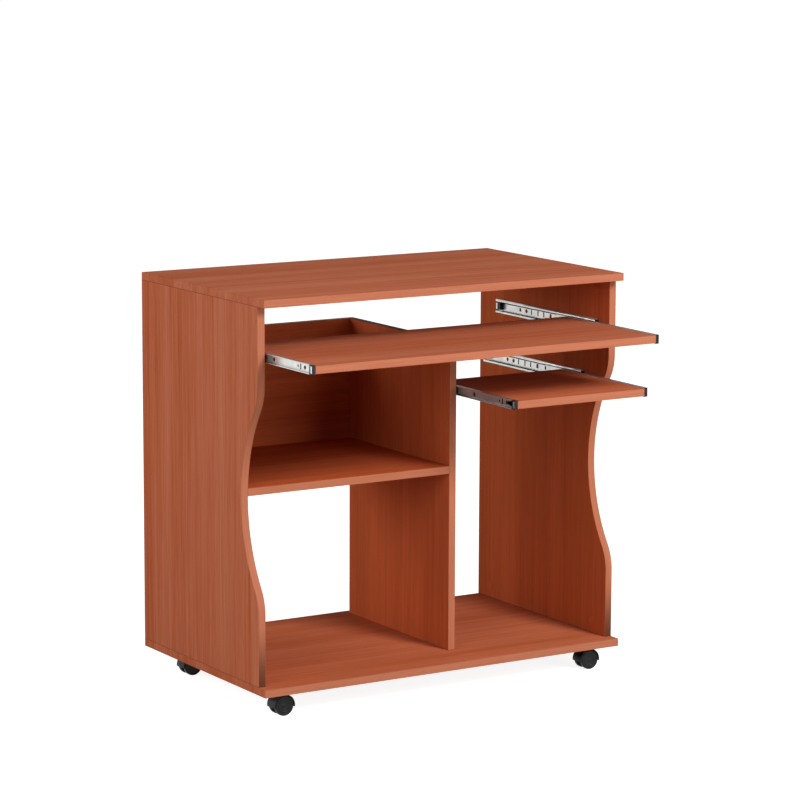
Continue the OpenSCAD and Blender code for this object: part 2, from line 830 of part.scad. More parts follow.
top_panel();
bottom_panel();
left_side_panel();
right_side_panel();
divider_panel();
fixed_shelf();
back_panel();
keyboard_tray();
pull_out_shelf();
cam_locks();
cam_bolts();
cam_covers();
wooden_dowels();
confirmat_screws();
screw_caps();
slide_outer("keyboard_left");  // keyboard_slide_left_outer
slide_outer("keyboard_right");  // keyboard_slide_right_outer
slide_outer("shelf_left");  // shelf_slide_left_outer
slide_outer("shelf_right");  // shelf_slide_right_outer
slide_rear_stops();
slide_wall_screws();
slide_cage("keyboard_left", tray_out);  // keyboard_slide_left_cage
slide_cage("keyboard_right", tray_out);  // keyboard_slide_right_cage
slide_cage("shelf_left", shelf_out);  // shelf_slide_left_cage
slide_cage("shelf_right", shelf_out);  // shelf_slide_right_cage
slide_balls("keyboard_left", tray_out);  // keyboard_slide_left_balls
slide_balls("keyboard_right", tray_out);  // keyboard_slide_right_balls
slide_balls("shelf_left", shelf_out);  // shelf_slide_left_balls
slide_balls("shelf_right", shelf_out);  // shelf_slide_right_balls
slide_inner("keyboard_left", tray_out);  // keyboard_slide_left_inner
slide_inner("keyboard_right", tray_out);  // keyboard_slide_right_inner
slide_inner("shelf_left", shelf_out);  // shelf_slide_left_inner
slide_inner("shelf_right", shelf_out);  // shelf_slide_right_inner
keyboard_slide_caps();
shelf_slide_caps();
keyboard_tray_screws();
pull_out_shelf_screws();
caster_plate(0);  // front_left_caster_plate
caster_plate(1);  // front_right_caster_plate
caster_plate(2);  // rear_left_caster_plate
caster_plate(3);  // rear_right_caster_plate
caster_hood(0);  // front_left_caster_hood
caster_hood(1);  // front_right_caster_hood
caster_hood(2);  // rear_left_caster_hood
caster_hood(3);  // rear_right_caster_hood
caster_axle(0);  // front_left_caster_axle
caster_axle(1);  // front_right_caster_axle
caster_axle(2);  // rear_left_caster_axle
caster_axle(3);  // rear_right_caster_axle
caster_wheel(0, false);  // front_left_caster_near_wheel
caster_wheel(1, true);  // front_right_caster_near_wheel
caster_wheel(2, false);  // rear_left_caster_near_wheel
caster_wheel(3, true);  // rear_right_caster_near_wheel
caster_wheel(0, true);  // front_left_caster_far_wheel
caster_wheel(1, false);  // front_right_caster_far_wheel
caster_wheel(2, true);  // rear_left_caster_far_wheel
caster_wheel(3, false);  // rear_right_caster_far_wheel
caster_king_pins();
caster_screws();
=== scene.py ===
"""Finishes, screws, wheels and studio for a rolling computer desk in cherry laminate.

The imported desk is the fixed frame. Its boards, slides and casters keep their shapes and get
their materials here; screws and wheels are replaced by pieces with more detail.
"""

import math

import bpy
import numpy as np
from bpy.props import FloatProperty, FloatVectorProperty, IntProperty, PointerProperty
from mathutils import Matrix, Vector


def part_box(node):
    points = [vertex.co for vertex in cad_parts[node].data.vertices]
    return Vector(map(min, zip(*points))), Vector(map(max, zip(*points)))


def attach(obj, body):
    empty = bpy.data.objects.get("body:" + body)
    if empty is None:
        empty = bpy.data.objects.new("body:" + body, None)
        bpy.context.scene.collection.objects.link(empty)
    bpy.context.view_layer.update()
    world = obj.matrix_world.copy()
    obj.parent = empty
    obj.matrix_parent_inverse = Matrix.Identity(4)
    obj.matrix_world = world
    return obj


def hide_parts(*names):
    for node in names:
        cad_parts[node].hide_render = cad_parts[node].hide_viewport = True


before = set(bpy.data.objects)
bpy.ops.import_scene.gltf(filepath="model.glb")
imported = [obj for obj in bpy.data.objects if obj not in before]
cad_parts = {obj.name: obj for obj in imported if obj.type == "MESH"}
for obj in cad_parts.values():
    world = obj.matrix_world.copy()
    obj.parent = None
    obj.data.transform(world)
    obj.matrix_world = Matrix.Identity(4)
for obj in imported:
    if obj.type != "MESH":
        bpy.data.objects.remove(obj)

bl_info = {
    "name": "Computer Desk Finishes",
    "version": (1, 0, 0),
    "blender": (4, 5, 0),
    "location": "3D View > Sidebar > Desk",
    "description": "Dresses a rolling computer desk and builds its studio",
    "category": "Object",
}

MM = 0.001
AXES = "XYZ"

# Each board: axis of its grain, axis of its thickness, where its pattern starts, whether its
# ends along the grain butt against other boards, and how much painted shade, a deeper and
# redder print, the low and the high face of its thickness get
BOARDS = {
    "top_panel": ("X", "Z", 0.0, False, (1, 0)),
    "bottom_panel": ("X", "Z", 3.1, False, (1, 0.3)),
    "left_side_panel": ("Z", "X", 6.4, True, (0, 1)),
    "right_side_panel": ("Z", "X", 9.2, True, (1, 0)),
    "divider_panel": ("Z", "X", 12.7, True, (1, 1)),
    "fixed_shelf": ("X", "Z", 15.3, True, (1, 1)),
    "back_panel": ("X", "Y", 18.8, True, (1, 1)),
    "keyboard_tray": ("X", "Z", 21.9, False, (1, 0)),
    "pull_out_shelf": ("X", "Z", 24.5, False, (1, 0.4)),
}
SLIDES = ("keyboard_slide_left", "keyboard_slide_right", "shelf_slide_left", "shelf_slide_right")
CASTERS = ("front_left", "front_right", "rear_left", "rear_right")

# Screws, from the front end of a slide's member
WALL_SCREW_Y = np.array([37.0, 133.0, 271.0]) * MM
TRAY_SCREW_Y = np.array([36.0, 148.0, 258.0]) * MM
POINT = 2.5 * MM  # length of a screw's pointed end
CROWN_ROWS = 22  # rings of points over the top of a screw's head

STEEL_T = 1.2 * MM  # thickness of the slides' sheet
WEB_HALF = 9 * MM  # half the height of the flat of a member's web
MARK_LENGTH = 70  # length of a rolling mark for each of its widths

LAMINATE_T = 0.4 * MM  # thickness of the boards' laminate
GLUE_HALF = 0.12 * MM  # half the width of a glue line
SWAY = 4 * MM  # how far the grain wanders to each side
PRINT_DEPTH = 0.05  # size of the print's patches through the board
PORE_WIDTH = 0.8 * MM  # a real pore is 0.2 mm wide, and drawn wider so that it shows
DARKEST_TONE = -1.1  # tone of the print before its bands, veins and streaks are added

# Openings in a member's web in mm: place from its front end, half length and half height of
# the straight part, and radius
OUTER_OPENINGS = ((37.0, 0, 0, 2.9), (133.0, 0, 0, 2.9), (271.0, 0, 0, 2.9), (249.0, 0, 0, 3.3),
                  (187.0, 1, 4.5, 0), (207.5, 1, 4.5, 0), (231.0, 1, 4.5, 0),
                  (162.5, 2.75, 3.5, 0))
INNER_OPENINGS = ((36.0, 0, 0, 2.9), (148.0, 0, 0, 2.9), (258.0, 0, 0, 2.9), (60.5, 0, 0, 1.4),
                  (51.0, 1, 4.5, 0))

# Painted shadow on an outer member's web in mm, under its flanges along the ball races: middle
# and half width of each band, from mid height
RACE_SHADOW_BANDS = ((8.8, 3.3), (-11.0, 1.2))

# A wheel's profile in mm: radius and distance from the caster's middle, from the hub cap
# outwards over the tread and back in to the bore
WHEEL_PROFILE = (
    (0, 13.95), (3.6, 13.85), (4.4, 13.1), (5.1, 13.1), (5.6, 13.4), (10.4, 13.2),
    (10.9, 13.6), (11.9, 13.6), (12.4, 13.05), (15.0, 12.95), (16.2, 14.35),
    (17.2, 14.5), (18.3, 14.3), (18.95, 13.1), (19.0, 10.35), (18.95, 7.6),
    (18.3, 6.4), (17.2, 6.2), (15.8, 6.2), (15.8, 11.7), (5.2, 11.7), (5.2, 3.8),
    (3.05, 3.8), (3.05, 12.3), (0, 12.3),
)
TREAD_START = 18.2 * MM  # radius from which the tread is rubbed

# Each lamp's diameter and place, and the spot that all of them face, in metres
LAMPS = {
    "key": (1.3, (0.95, -3.35, 2.85)),
    "fill": (2.2, (1.6, -4.0, 1.3)),
    "top": (2.6, (0.0, -1.5, 3.3)),
    "side": (2.4, (-3.4, -2.0, 1.6)),
    "rear": (2.2, (-3.2, 2.2, 1.6)),
}
LAMP_AIM = (0.0, 0.0, 0.4)
FLOOR_HALF = 60.0  # half the width of the floor
WHITE = (1.0, 1.0, 1.0, 1.0)


def linear(hex_colour):
    """sRGB hex colour as four scene-linear numbers."""
    rgb = np.array([int(hex_colour[i : i + 2], 16) for i in (1, 3, 5)]) / 255
    rgb = np.where(rgb <= 0.04045, rgb / 12.92, ((rgb + 0.055) / 1.055) ** 2.4)
    return (*rgb.tolist(), 1.0)


def colour(name, description, hex_colour):
    return FloatVectorProperty(
        name=name, description=description, subtype="COLOR", size=4, min=0, max=1,
        default=linear(hex_colour),
    )


def length(name, description, millimetres):
    return FloatProperty(
        name=name, description=description, subtype="DISTANCE", unit="LENGTH", min=0,
        precision=5, default=millimetres * MM,
    )


def share(name, description, value):
    return FloatProperty(
        name=name, description=description, subtype="FACTOR", min=0, max=1, default=value
    )


def power(name, description, watts):
    return FloatProperty(name=name, description=description, unit="POWER", min=0, default=watts)


class DeskBoards(bpy.types.PropertyGroup):
    face_light: colour("Light grain", "Lightest tone of the printed cherry", "#B46C50")
    face_dark: colour("Dark grain", "Darkest tone of the printed cherry", "#9E4C2C")
    # Painted shade: a deeper, redder copy of the print for the faces inside and underneath
    shade_print_light: colour("Kept light grain", "Lightest tone out of the daylight", "#BF5E37")
    shade_print_dark: colour("Kept dark grain", "Darkest tone out of the daylight", "#A14B28")
    pore: colour("Pores", "Short dark pores in the print", "#7A3A20")
    edge_light: colour("Light edge", "Lightest tone of the edge bands", "#AE6C52")
    edge_dark: colour("Dark edge", "Darkest tone of the edge bands", "#91543B")
    glue: colour("Glue line", "Thin line where an edge band meets a face", "#5A2410")
    # Joint colour, also used for the painted shade at the feet of the side panels' front edges
    joint: colour("Joint", "Hairline where a board butts against the next", "#240D05")
    band: length("Bands", "Width of the broad bands across the grain", 60)
    vein: length("Veins", "Width of the veins across the grain", 11)
    streak: length("Streaks", "Width of the fine streaks across the grain", 2.2)
    edge_round: length("Edge rounding", "Rounding of a board's corners", 0.7)
    # Painted shade at the feet of the side panels' front edge bands: its height and strength
    foot_shade: length("Feet", "Height of the darker feet of the side panels' edges", 130)
    foot_shade_strength: share("Dark feet", "How dark the feet of these edges are", 0.75)
    roughness: share("Roughness", "Roughness of the pressed surface", 0.55)
    gloss: share("Gloss", "Strength of the reflection of the upright boards", 0.01)
    top_gloss: share("Top gloss", "Strength of the reflection of the level boards", 0.001)
    edge_gloss: share("Edge gloss", "Strength of the reflection of the front edge bands", 0.02)
    glue_show: share("Glue strength", "How strongly the glue lines show", 0.6)
    joint_show: share("Joint strength", "How strongly the joints' hairlines show", 0.9)
    pearl: length("Pearl", "Grain of the press plate's pearl texture", 0.7)


class DeskMetals(bpy.types.PropertyGroup):
    zinc: colour("Zinc", "Bright zinc plating", "#DADAD7")
    zinc_dull: colour("Dull zinc", "Zinc where the passivation is thicker", "#C6C6C2")
    steel: colour("Bearing steel", "Polished steel of balls and axles", "#D3D5D7")
    die_cast: colour("Die-cast zinc", "Tumbled grey of the cam locks", "#8F9296")
    # Painted shade, partly the duller sheared steel, on the slides' front ends, hole walls and
    # rims
    cut: colour("Cut steel", "Dull sheared edges and hole walls of the sheet", "#2A2B2E")
    # Painted shadow under the slides' flanges along the ball races
    race_shadow: colour("Grease", "Dark grease in the ball races", "#1B1A18")
    phosphate: colour("Phosphate", "Black phosphate coat of the wall screws", "#0E0E10")
    phosphate_worn: colour("Worn phosphate", "Phosphate where steel shows through", "#1D1D20")
    bronze: colour("Bronzed", "Brown oxide of the tray screws", "#2E1810")
    bronze_worn: colour("Worn bronzed", "Brown oxide where it is rubbed", "#573122")
    rolling: length("Rolling marks", "Width of the rolling marks along the steel", 0.9)
    # Painted shade: width of the dark rim round each opening in a slide's web
    rim_shade: length("Rims", "Width of the dull rim round an opening", 0.9)
    edge_round: length("Edge rounding", "Rounding of the steel's cut edges", 0.25)
    roughness: share("Roughness", "Roughness of the zinc plating", 0.22)
    haze: share("Haze", "How metallic the zinc of the slides looks through its thin haze", 0.65)
    # Painted shade at the bottom of the screws' cross recesses
    recess: colour("Recess", "Dark bottom of the screws' cross recesses", "#08080A")
    clouds: length("Clouds", "Size of the cloudy patches in the plating", 18)
    screw_clouds: length("Screw clouds", "Size of the worn patches on a screw", 1.2)
    cast_roughness: share("Cast roughness", "Roughness of the die-cast cam locks", 0.5)
    turned_roughness: share("Turned roughness", "Roughness of the turned bolts", 0.36)
    stamped_roughness: share("Stamped roughness", "Roughness of the casters' plates", 0.4)
    ball_roughness: share("Ball roughness", "Roughness of the ground balls", 0.16)
    axle_roughness: share("Axle roughness", "Roughness of the drawn axles", 0.22)
    screw_roughness: share("Screw roughness", "Roughness of the screws' coats", 0.5)


class DeskPlastics(bpy.types.PropertyGroup):
    black: colour("Black", "Black nylon of hoods, caps and cages", "#101112")
    black_worn: colour("Worn black", "Black nylon where it rubs or holds dust", "#1E1F22")
    cover: colour("Covers", "Cherry-coloured covers over the fittings", "#B65830")
    cover_deep: colour("Deep covers", "Darker flow of the covers' plastic", "#A9502B")
    beech: colour("Beech", "Pale wood of the dowels", "#D8B98A")
    beech_ray: colour("Beech rays", "Brown flecks in the dowels", "#B98F5C")
    grit: length("Grit", "Grain of the spark-eroded moulds", 0.6)
    roughness: share("Roughness", "Roughness of the black nylon", 0.46)
    gloss: share("Gloss", "Strength of the reflection at the surface", 0.16)
    flow: length("Flow", "Size of the paler patches in the plastic", 14)
    cover_roughness: share("Cover roughness", "Roughness of the covers", 0.42)
    wheel_roughness: share("Wheel roughness", "Roughness of the wheels", 0.38)
    cover_round: length("Cover rounding", "Rounding of the covers' rims", 0.2)
    cap_round: length("Cap rounding", "Rounding of the slides' front caps", 0.4)
    hood_round: length("Hood rounding", "Rounding of the casters' hoods", 0.6)


class DeskScrews(bpy.types.PropertyGroup):
    head: length("Head radius", "Radius of a screw's head", 2.9)
    shank: length("Shank radius", "Radius of a screw's shank", 1.5)
    long: length("Length", "Length of a screw under its head's top", 12)
    pan: length("Pan height", "Height of the tray screws' heads", 1.8)
    recess_depth: length("Recess depth", "Depth of the cross recess", 1.0)
    recess_reach: length("Recess reach", "Length of one arm of the cross recess", 1.7)
    recess_width: length("Recess width", "Half the width of an arm", 0.4)
    steps: IntProperty(name="Steps", description="Steps round a screw", default=72, min=16)


class DeskWheels(bpy.types.PropertyGroup):
    fillet: length("Fillet", "Rounding of the wheel's moulded corners", 0.35)
    steps: IntProperty(name="Steps", description="Steps round a wheel", default=112, min=24)


class DeskStage(bpy.types.PropertyGroup):
    floor: colour("Floor", "Colour of the floor", "#B4B4B2")
    ambient: share("Ambient", "Light from all round", 0.05)
    floor_near: share("Near white", "White that the camera adds to the floor by the desk", 0.88)
    floor_far: share("Far white", "White that the camera adds to the floor far off", 1.0)
    floor_reach: FloatVectorProperty(
        name="Floor reach", description="Where the floor's white starts and ends to rise",
        unit="LENGTH", size=2, default=(0.8, 2.6),
    )
    key: power("Key", "Power of the high front light", 164)
    fill: power("Fill", "Power of the low front light", 74)
    top: power("Top", "Power of the top light", 15)
    side: power("Side", "Power of the left light", 60)
    rear: power("Rear", "Power of the light from the rear left", 74)
    lens: FloatProperty(name="Lens", description="Focal length in mm", default=146.0)
    yaw: FloatProperty(
        name="Yaw", description="Turn of the camera to the right", subtype="ANGLE",
        default=math.radians(31.840),
    )
    pitch: FloatProperty(
        name="Pitch", description="Tilt of the camera down", subtype="ANGLE",
        default=math.radians(9.363),
    )
    roll: FloatProperty(
        name="Roll", description="Roll of the camera", subtype="ANGLE",
        default=math.radians(0.218),
    )
    place: FloatVectorProperty(
        name="Camera", description="Place of the camera", subtype="XYZ", unit="LENGTH", size=3,
        default=(-3.2641, -5.2498, 1.5660),
    )


# Materials


def feed(tree, node, inputs):
    """Gives each socket its value, or links it to the node or socket that feeds it."""
    for key, value in inputs.items():
        if isinstance(value, bpy.types.Node):
            value = next(o for o in value.outputs if o.enabled)
        if isinstance(value, bpy.types.NodeSocket):
            tree.links.new(value, node.inputs[key])
        else:
            node.inputs[key].default_value = value


def add(tree, kind, inputs=(), **settings):
    """Adds one node with its settings and feeds its sockets."""
    node = tree.nodes.new("ShaderNode" + kind)
    for key, value in settings.items():
        setattr(node, key, value)
    feed(tree, node, dict(inputs))
    return node


def maths(tree, operation, *terms, **settings):
    """One step of arithmetic; the terms are its numbers in order."""
    return add(tree, "Math", dict(enumerate(terms)), operation=operation, **settings)


def vectors(tree, operation, *terms):
    """One step of vector arithmetic; the terms are its vectors in order."""
    return add(tree, "VectorMath", dict(enumerate(terms)), operation=operation)


def ramp(tree, value, start, end, low, high, **settings):
    """Goes from low to high while the value goes from start to end, and holds at both."""
    return add(tree, "MapRange", dict(enumerate((value, start, end, low, high))), **settings)


def blend(tree, amount, first, second):
    """The first colour where the amount is 0, the second where it is 1."""
    return add(tree, "Mix", {0: amount, 6: first, 7: second}, data_type="RGBA").outputs[2]


def noise(tree, vector, scale, detail, roughness=0.5):
    """Soft noise between 0 and 1; scale is one over the size of its patches."""
    return add(tree, "TexNoise", {"Vector": vector, "Scale": scale, "Detail": detail,
                                  "Roughness": roughness})


def start_material(name, **sockets):
    """A material with one Principled shader, its constants on the shader's own sockets."""
    material = bpy.data.materials.new(name)
    material.use_nodes = True
    tree = material.node_tree
    tree.nodes.clear()
    shader = add(tree, "BsdfPrincipled", {k.replace("_", " "): v for k, v in sockets.items()})
    add(tree, "OutputMaterial", {"Surface": shader})
    place = add(tree, "TexCoord").outputs["Object"]
    return material, tree, shader, place


def set_surface(tree, shader, skin, roughness, relief, strength, depth):
    """Gives a shader its colour and roughness, and a relief of some strength and depth."""
    bump = add(tree, "Bump", {"Strength": strength, "Distance": depth, "Height": relief})
    feed(tree, shader, {"Base Color": skin, "Roughness": roughness, "Normal": bump})


def coat(node, material):
    """Gives a piece its material through its own slots."""
    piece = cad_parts.get(node) or bpy.data.objects[node]
    if not piece.material_slots:
        piece.data.materials.append(material)
    for slot in piece.material_slots:
        slot.link = "OBJECT"
        slot.material = material
    return piece


def cherry_print(tree, place, axes, start):
    """How light the printed cherry is from place to place, and where it has pores.

    The axes are those along the grain, across it and through the board. Each layer is noise
    stretched along the grain, and start moves it so that no two boards look alike.
    """
    s = bpy.context.scene.desk_boards

    def layer(vector, sizes, detail, roughness=0.5):
        scale = [0.0, 0.0, 0.0]
        for axis, size in zip(axes, sizes):
            scale[axis] = 1 / size
        where = (start, start * 1.7, start * 0.6)
        spread = add(tree, "Mapping", {"Vector": vector, "Scale": scale, "Location": where})
        return noise(tree, spread, 1.0, detail, roughness)

    # The bands wander a few millimetres from side to side along the grain
    across = [0.0, 0.0, 0.0]
    across[axes[1]] = 1.0
    bend = layer(place, (0.55, 0.25, 0.1), 1.0)
    sway = maths(tree, "MULTIPLY_ADD", bend, 2 * SWAY, -SWAY)
    shift = add(tree, "VectorMath", {0: across, "Scale": sway}, operation="SCALE")
    flow = vectors(tree, "ADD", place, shift)

    # Bands, veins and streaks: length, width, roughness of the noise and weight in the tone
    tone = DARKEST_TONE
    for long, wide, rough, weight in ((1.9, s.band, 0.45, 1.1), (0.6, s.vein, 0.5, 0.9),
                                      (0.14, s.streak, 0.6, 1.2)):
        stripes = layer(flow, (long, wide, PRINT_DEPTH), 2.0, rough)
        tone = maths(tree, "MULTIPLY_ADD", stripes, weight, tone)

    pores = layer(flow, (0.045, PORE_WIDTH, PRINT_DEPTH), 1.0)
    return tone, ramp(tree, pores, 0.6, 0.72, 0.0, 0.35)


def edge_print(tree, split, axes, start):
    """The edge bands' own print, whose length runs along both in-plane axes added up."""
    s = bpy.context.scene.desk_boards
    grain, across, through = (split.outputs[axis] for axis in axes)
    run = maths(tree, "ADD", grain, across)
    strip = add(tree, "CombineXYZ", {0: run, 1: through, 2: start})
    strip = add(tree, "Mapping", {"Vector": strip, "Scale": (1 / 0.12, 1 / 0.0025, 1.0)})
    return blend(tree, noise(tree, strip, 1.0, 2.0), s.edge_dark, s.edge_light)


def board_material(node, grain, thick, start, butts, face_shade):
    """Particle board faced with cherry-printed melamine, pressed against a satin plate.

    The eye sees a flat printed grain under a thin even gloss: broad soft bands, finer veins,
    streaks and short pores along the grain, and a paler, plainer band glued to each edge. The
    faces inside and underneath get painted shade: a deeper, redder copy of the print.
    """
    s = bpy.context.scene.desk_boards
    low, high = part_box(node)
    g, t = AXES.index(grain), AXES.index(thick)
    a = 3 - g - t
    material, tree, shader, place = start_material("melamine_board_" + node, IOR=1.5)
    split = add(tree, "SeparateXYZ", {0: place})

    def from_ends(axis):
        here = split.outputs[axis]
        return (maths(tree, "SUBTRACT", here, low[axis]),
                maths(tree, "SUBTRACT", high[axis], here))

    from_low, from_high = from_ends(t)
    inset = maths(tree, "MINIMUM", from_low, from_high)
    on_edge = ramp(tree, inset, LAMINATE_T - 0.05 * MM, LAMINATE_T + 0.05 * MM, 0.0, 1.0)
    high_face = maths(tree, "GREATER_THAN", from_low, from_high)
    # Painted shade: how much of the deeper, redder copy of the print each face gets
    painted_shade = ramp(tree, high_face, 0.0, 1.0, *face_shade)
    painted_shade = add(tree, "Mix", {0: on_edge, 2: painted_shade, 3: 0.0})

    tone, pore = cherry_print(tree, place, (g, a, t), start)
    plain_print = blend(tree, tone, s.face_dark, s.face_light)
    shaded_print = blend(tree, tone, s.shade_print_dark, s.shade_print_light)
    face = blend(tree, painted_shade, plain_print, shaded_print)
    face = blend(tree, pore, face, s.pore)
    edge = edge_print(tree, split, (g, a, t), start)

    from_start, from_end = from_ends(g)
    end = maths(tree, "MINIMUM", from_start, from_end)
    if not butts:
        # The side ends are banded with the face's own laminate
        off_end = ramp(tree, end, 0.5 * MM, 1.0 * MM, 0.0, 1.0)
        on_edge = maths(tree, "MULTIPLY", on_edge, off_end)
    if node.endswith("side_panel"):
        # Painted shade: the side panels' front edge bands darken towards their feet, in the joint
        # colour
        foot_shade = ramp(tree, from_start, 0.0, s.foot_shade, s.foot_shade_strength, 0.0,
                    interpolation_type="SMOOTHSTEP")
        front = maths(tree, "LESS_THAN", split.outputs[a], (low[a] + high[a]) / 2)
        edge = blend(tree, maths(tree, "MULTIPLY", foot_shade, front), edge, s.joint)
    skin = blend(tree, on_edge, face, edge)
    seam = maths(tree, "COMPARE", inset, LAMINATE_T, GLUE_HALF)
    skin = blend(tree, maths(tree, "MULTIPLY", seam, s.glue_show), skin, s.glue)
    if butts:
        # The joint with the next board is a dark hairline
        joint = ramp(tree, end, 0.3 * MM, 0.6 * MM, s.joint_show, 0.0)
        skin = blend(tree, joint, skin, s.joint)
    face_gloss = s.top_gloss if thick == "Z" else s.gloss
    gloss = ramp(tree, on_edge, 0.0, 1.0, face_gloss, s.edge_gloss)
    feed(tree, shader, {"Specular IOR Level": gloss})

    # The press plate leaves a fine pearl texture, and pores are a little duller
    pearl = noise(tree, place, 1 / s.pearl, 1.0)
    dull = maths(tree, "MULTIPLY_ADD", pearl, 0.12, s.roughness - 0.06)
    dull = maths(tree, "MULTIPLY_ADD", pore, 0.3, dull)
    relief = maths(tree, "MULTIPLY_ADD", pore, -1.0, pearl)
    set_surface(tree, shader, skin, dull, relief, strength=0.25, depth=0.03 * MM)
    return material


def metal_material(name, bright, dull, roughness, along, member=None):
    """Steel sheet with bright zinc, or bare bearing steel.

    The eye sees a cool, slightly cloudy mirror with fine marks along the rolling direction. A
    slide's member is given by its box, the side it's screwed on, its openings and its bands of
    painted shadow: it has a thin haze, painted shade (partly the duller sheared steel) on its
    front end, hole walls and rims, and painted shadow under its flanges by the balls.
    """
    m = bpy.context.scene.desk_metals
    metallic = m.haze if member else 1.0
    material, tree, shader, place = start_material(name, Metallic=metallic)
    stretch = [1 / m.rolling] * 3
    stretch[AXES.index(along)] = 1 / (m.rolling * MARK_LENGTH)
    marks = noise(tree, add(tree, "Mapping", {"Vector": place, "Scale": stretch}), 1.0, 2.0)
    clouds = noise(tree, place, 1 / m.clouds, 3.0)
    mottle = ramp(tree, clouds, 0.35, 0.65, 0.0, 1.0)
    skin = blend(tree, mottle, bright, dull)
    if member:
        # Painted shade on the front end, hole walls and rims, and painted shadow by the races
        cut, race_shadow = member_shade(tree, place, *member)
        skin = blend(tree, cut, skin, m.cut)
        skin = blend(tree, race_shadow, skin, m.race_shadow)

    # Roughness varies about its middle by the marks and by the clouds
    by_marks, by_clouds = 0.14, 0.06
    least = roughness - (by_marks + by_clouds) / 2
    gloss = maths(tree, "MULTIPLY_ADD", marks, by_marks, least)
    gloss = maths(tree, "MULTIPLY_ADD", mottle, by_clouds, gloss)
    set_surface(tree, shader, skin, gloss, marks, strength=0.2, depth=0.02 * MM)
    return material


def member_shade(tree, place, low, high, screwed, openings, bands):
    """Where a slide's member gets painted shade, and where painted shadow by its ball races.

    The painted shade, partly the duller sheared steel, lies on the web's front end, on the walls
    of its openings, and within a rim's width of them: there the distance to the opening's
    straight part is under radius plus rim.
    """
    rim_shade = bpy.context.scene.desk_metals.rim_shade
    spot = add(tree, "SeparateXYZ", {0: place})
    face = add(tree, "SeparateXYZ", {0: add(tree, "TexCoord").outputs["Normal"]})
    middle = (low[2] + high[2]) / 2
    up = maths(tree, "SUBTRACT", spot.outputs[2], middle)
    off = maths(tree, "SUBTRACT", spot.outputs[0], high[0] if screwed > 0 else low[0])
    off = maths(tree, "ABSOLUTE", off)

    def under(value, limit):
        return maths(tree, "LESS_THAN", value, limit)

    def both(first, second):
        return maths(tree, "MULTIPLY", first, second)

    def either(first, second):
        return maths(tree, "MAXIMUM", first, second)

    # Painted shade, partly the duller sheared steel, on the web's front end and opening walls
    # The front end faces ahead; an opening's walls face neither side
    front_end = both(under(face.outputs[1], -0.7), under(off, STEEL_T + 0.2 * MM))
    not_sideways = under(maths(tree, "ABSOLUTE", face.outputs[0]), 0.5)
    walls = both(not_sideways, under(maths(tree, "ABSOLUTE", up), WEB_HALF))
    cut = either(front_end, walls)

    on_web = under(off, 2 * STEEL_T)
    flat = vectors(tree, "MULTIPLY", place, (0.0, 1.0, 1.0))
    # Painted shade in a rim round each opening, on the web only
    for y, half_y, half_z, radius in openings:
        apart = vectors(tree, "SUBTRACT", flat, (0.0, low[1] + y * MM, middle))
        apart = vectors(tree, "ABSOLUTE", apart)
        apart = vectors(tree, "SUBTRACT", apart, (0.0, half_y * MM, half_z * MM))
        apart = vectors(tree, "MAXIMUM", apart, (0.0, 0.0, 0.0))
        near = under(vectors(tree, "LENGTH", apart), radius * MM + rim_shade)
        cut = either(cut, both(near, on_web))

    # Painted shadow in bands under the flanges along the ball races
    race_shadow = 0.0
    for band, half in bands:
        held = maths(tree, "COMPARE", up, band * MM, half * MM)
        race_shadow = either(race_shadow, both(held, on_web))
    return cut, race_shadow


def plastic_material(name, plain, worn, roughness, gloss, wear=None):
    """Injection-moulded nylon or ABS from a spark-eroded mould.

    The eye sees an even satin skin with a fine grit, a little paler where it rubs.
    """
    p = bpy.context.scene.desk_plastics
    material, tree, shader, place = start_material(name, IOR=1.49, Specular_IOR_Level=gloss)
    grain = noise(tree, place, 1 / p.grit, 2.0)
    amount = ramp(tree, noise(tree, place, 1 / p.flow, 3.0), 0.42, 0.78, 0.0, 0.7)
    if wear:
        rubbed = add(tree, "Attribute", attribute_name=wear)
        amount = maths(tree, "MULTIPLY_ADD", rubbed.outputs["Fac"], 0.8, amount, use_clamp=True)
    skin = blend(tree, amount, plain, worn)
    satin = maths(tree, "MULTIPLY_ADD", grain, 0.12, roughness - 0.06)
    set_surface(tree, shader, skin, satin, grain, strength=0.3, depth=0.03 * MM)
    return material


def screw_material(name, coat_colour, worn):
    """Phosphated or bronzed screws: a matt, oily coat, paler where worn, with painted shade in the
    recess.
    """
    m = bpy.context.scene.desk_metals
    material, tree, shader, place = start_material(name, IOR=1.5, Specular_IOR_Level=0.3)
    painted_shade = add(tree, "Attribute", attribute_name="recess")
    mottle = ramp(tree, noise(tree, place, 1 / m.screw_clouds, 3.0), 0.3, 0.7, 0.0, 1.0)
    skin = blend(tree, mottle, coat_colour, worn)
    # Painted shade at the bottom of the cross recess
    skin = blend(tree, painted_shade.outputs["Fac"], skin, m.recess)
    gloss = maths(tree, "MULTIPLY_ADD", mottle, 0.12, m.screw_roughness - 0.08)
    feed(tree, shader, {"Base Color": skin, "Roughness": gloss})
    return material


def wood_material():
    """Turned beech dowels: pale wood with short brown ray flecks and a dry, sanded surface."""
    p = bpy.context.scene.desk_plastics
    material, tree, shader, place = start_material("turned_beech", IOR=1.5)
    flecks = add(tree, "Mapping", {"Vector": place, "Scale": (1400.0, 1400.0, 380.0)})
    fleck = ramp(tree, noise(tree, flecks, 1.0, 2.0), 0.52, 0.7, 0.0, 0.8)
    skin = blend(tree, fleck, p.beech, p.beech_ray)
    set_surface(tree, shader, skin, 0.62, fleck, strength=0.3, depth=0.05 * MM)
    return material


# Shapes


